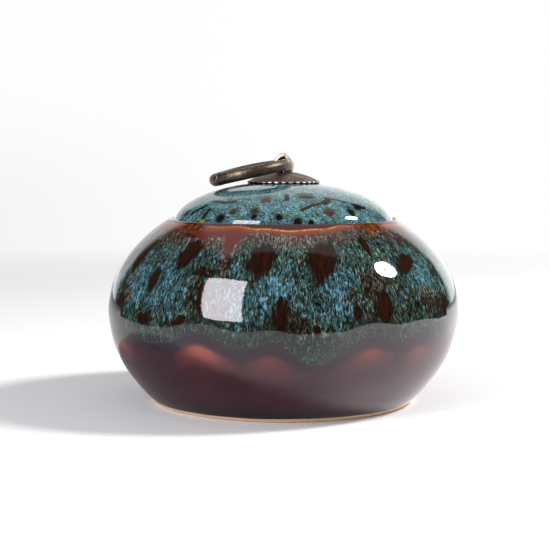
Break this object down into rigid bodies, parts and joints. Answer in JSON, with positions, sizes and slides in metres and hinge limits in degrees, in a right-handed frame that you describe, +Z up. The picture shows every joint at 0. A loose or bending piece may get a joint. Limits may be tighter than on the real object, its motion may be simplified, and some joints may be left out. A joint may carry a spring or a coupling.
{
  "type": "funeral urn",
  "caption": "Squat glazed ceramic urn with a domed drop-in lid, a bronze rosette, a split-pin eye and a pull ring that swings.",
  "frame": {"origin": "centre of the foot, in the plane that the urn stands on", "axes": "+Z up along the jar's axis; the pull ring lies down towards -X and the eye's hole runs along Y"},
  "size_m": [0.13, 0.13, 0.0919],
  "materials": {
    "jar_glaze": "glossy blue-green speckled drip glaze over maroon brown, bare clay at the foot",
    "lid_glaze": "glossy blue-green speckled glaze with dark spots",
    "dark_bronze": "antique bronze patina, worn bright on the high places",
    "bright_bronze": "worn pale bronze, semi-polished"
  },
  "bodies": {
    "urn": {"jar": "jar_glaze", "lid": "lid_glaze", "rosette": "dark_bronze", "ring_eye": "bright_bronze"},
    "ring": {"pull_ring": "dark_bronze"}
  },
  "joints": [
    {"name": "ring_swing", "type": "hinge", "parent": "urn", "child": "ring", "pos_m": [0, 0, 0.08687], "axis": [0, 1, 0], "range_deg": [0, 155]}
  ]
}
